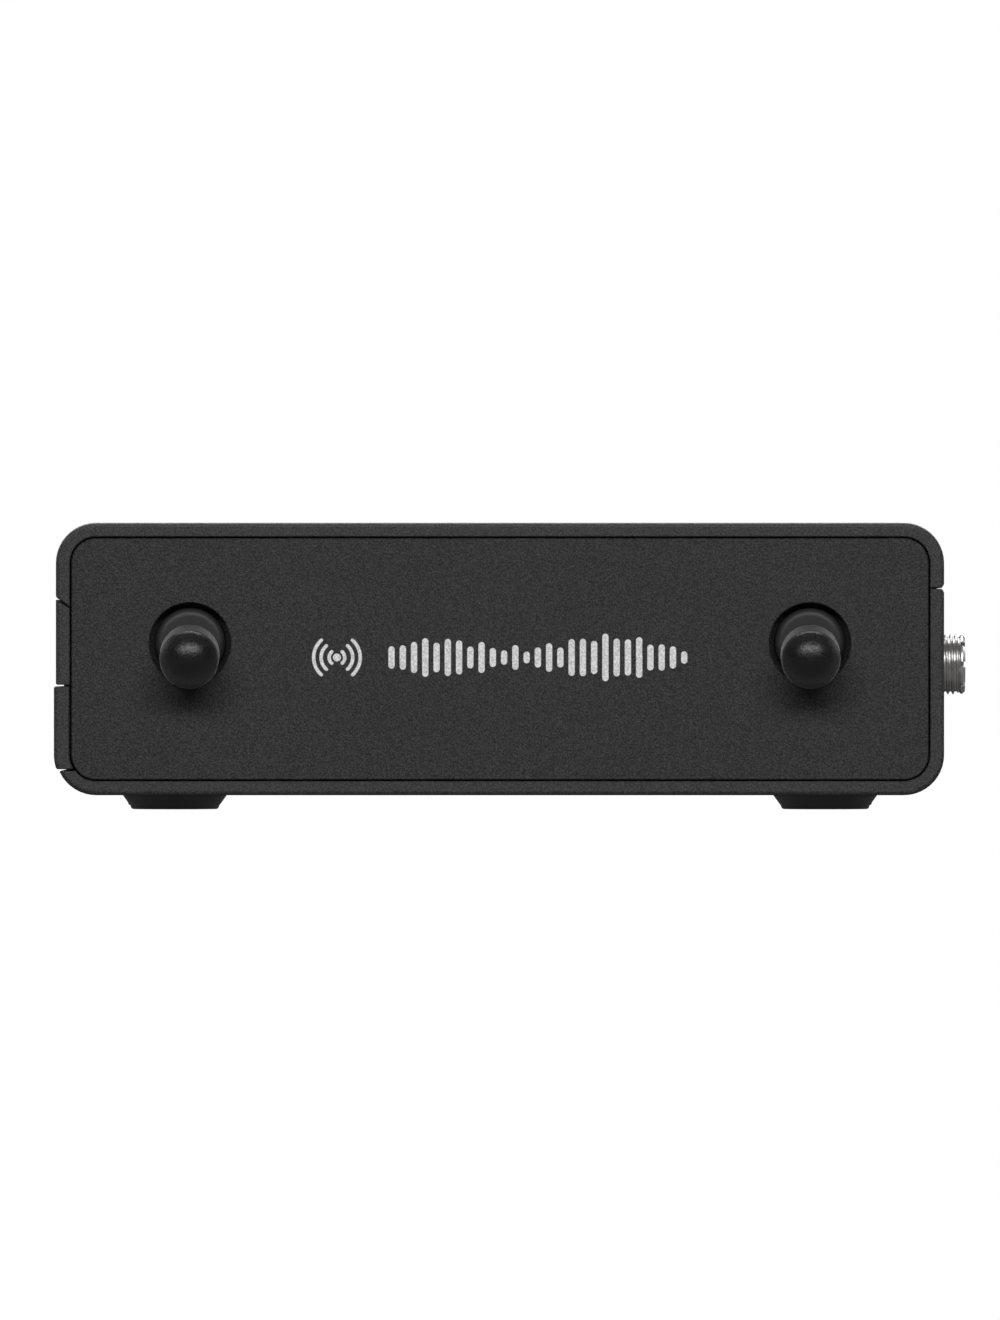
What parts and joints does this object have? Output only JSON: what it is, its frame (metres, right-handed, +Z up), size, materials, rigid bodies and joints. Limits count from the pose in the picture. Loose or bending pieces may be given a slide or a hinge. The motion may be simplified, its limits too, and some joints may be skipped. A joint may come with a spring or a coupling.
{
  "type": "wireless audio receiver",
  "caption": "Flat rounded-box portable wireless audio receiver with stub antennas, side audio sockets, hinged battery door, sliding latch, end display and press buttons.",
  "frame": {"origin": "mouth of the bracket thread in the middle of the underside, level with the underside (the feet stand below it)", "axes": "+Z up through the top face, -Y out of the antenna end, +Y out of the control end, +X out of the socket flank"},
  "size_m": [0.0906, 0.0715, 0.0284],
  "materials": {
    "shell_coat": "fine-textured dark grey powder coat",
    "panel_plastic": "fine-textured dark grey",
    "door_plastic": "fine-textured dark grey",
    "steel": "plain",
    "foam": "closed-cell foam",
    "collar_plastic": "satin black",
    "white_plastic": "natural nylon",
    "antenna_rubber": "fine satin",
    "copper": "enamelled copper wire",
    "cable_black": "thin coaxial cable jacket",
    "foot_rubber": "matte",
    "brass": "turned",
    "nickel": "nickel plated",
    "black_plastic": "moulded",
    "tin_plate": "tin plate",
    "bay_plastic": "moulded liner",
    "pack_plastic": "semi gloss case",
    "gold_contact": "gold flashed spring",
    "ribbon_fabric": "woven ribbon",
    "lead_red": "wire insulation",
    "board_green": "solder mask",
    "display_glass": "dark glass",
    "window_clear": "smoked acrylic",
    "flex_amber": "polyimide film",
    "light_pipe": "frosted acrylic",
    "button_rubber": "satin elastomer"
  },
  "bodies": {
    "housing": {"top_shell": "shell_coat", "bottom_shell": "shell_coat", "antenna_end_panel": "panel_plastic", "control_end_panel": "panel_plastic", "door_hinge_pin": "steel", "housing_screws": "steel", "board_screws": "steel", "antenna_coax_cables": "cable_black", "rubber_feet": "foot_rubber", "threaded_insert": "brass", "audio_jack_barrel": "nickel", "headphone_jack_ring": "nickel", "audio_jack_washer": "nickel", "audio_jack_body": "black_plastic", "headphone_jack_body": "black_plastic", "board_link_header": "black_plastic", "display_holder": "black_plastic", "usb_c_tongue": "black_plastic", "main_board_chips": "black_plastic", "usb_c_shell": "tin_plate", "rf_shield_frame": "tin_plate", "rf_shield_lid": "tin_plate", "tact_switches": "tin_plate", "battery_bay": "bay_plastic", "battery_pack": "pack_plastic", "battery_contacts": "gold_contact", "battery_pull_tab": "ribbon_fabric", "battery_leads": "lead_red", "main_board": "board_green", "audio_board": "board_green", "ui_board": "board_green", "display_module": "display_glass", "display_window": "window_clear", "display_ribbon": "flex_amber", "status_light_pipes": "light_pipe"},
    "door": {"battery_door": "door_plastic", "door_foam_pad": "foam"},
    "latch": {"door_latch": "door_plastic"},
    "collar_left": {"antenna_collar_left": "collar_plastic", "antenna_clip_left": "steel", "antenna_seat_left": "white_plastic"},
    "collar_right": {"antenna_collar_right": "collar_plastic", "antenna_clip_right": "steel", "antenna_seat_right": "white_plastic"},
    "stub_left": {"antenna_stub_left": "antenna_rubber", "antenna_coil_left": "copper"},
    "stub_right": {"antenna_stub_right": "antenna_rubber", "antenna_coil_right": "copper"},
    "key_up": {"button_up": "button_rubber"},
    "key_down": {"button_down": "button_rubber"},
    "key_set": {"button_set": "button_rubber"},
    "key_back": {"button_back": "button_rubber"},
    "key_sync": {"button_sync": "button_rubber"},
    "key_power": {"button_power": "button_rubber"}
  },
  "joints": [
    {"name": "door_swing", "type": "hinge", "parent": "housing", "child": "door", "pos_m": [-0.0425, 0.026, 0.0105], "axis": [0, 0, -1], "range_deg": [0, 95]},
    {"name": "latch_slide", "type": "slide", "parent": "door", "child": "latch", "axis": [0, 1, 0], "range_m": [0, 0.0024]},
    {"name": "antenna_left_turn", "type": "hinge", "parent": "housing", "child": "collar_left", "pos_m": [-0.0307, -0.027, 0.01505], "axis": [0, -1, 0], "range_deg": [-170, 170]},
    {"name": "antenna_left_tilt", "type": "hinge", "parent": "collar_left", "child": "stub_left", "pos_m": [-0.0307, -0.027, 0.01505], "axis": [-1, 0, 0], "range_deg": [0, 18]},
    {"name": "antenna_right_turn", "type": "hinge", "parent": "housing", "child": "collar_right", "pos_m": [0.0307, -0.027, 0.01505], "axis": [0, -1, 0], "range_deg": [-170, 170]},
    {"name": "antenna_right_tilt", "type": "hinge", "parent": "collar_right", "child": "stub_right", "pos_m": [0.0307, -0.027, 0.01505], "axis": [-1, 0, 0], "range_deg": [0, 18]},
    {"name": "button_up_press", "type": "slide", "parent": "housing", "child": "key_up", "axis": [0, -1, 0], "range_m": [0, 0.0005], "stiffness_N_per_m": 400},
    {"name": "button_down_press", "type": "slide", "parent": "housing", "child": "key_down", "axis": [0, -1, 0], "range_m": [0, 0.0005], "stiffness_N_per_m": 400},
    {"name": "button_set_press", "type": "slide", "parent": "housing", "child": "key_set", "axis": [0, -1, 0], "range_m": [0, 0.0005], "stiffness_N_per_m": 400},
    {"name": "button_back_press", "type": "slide", "parent": "housing", "child": "key_back", "axis": [0, -1, 0], "range_m": [0, 0.0005], "stiffness_N_per_m": 400},
    {"name": "button_sync_press", "type": "slide", "parent": "housing", "child": "key_sync", "axis": [0, -1, 0], "range_m": [0, 0.0005], "stiffness_N_per_m": 400},
    {"name": "button_power_press", "type": "slide", "parent": "housing", "child": "key_power", "axis": [0, -1, 0], "range_m": [0, 0.0005], "stiffness_N_per_m": 400}
  ]
}
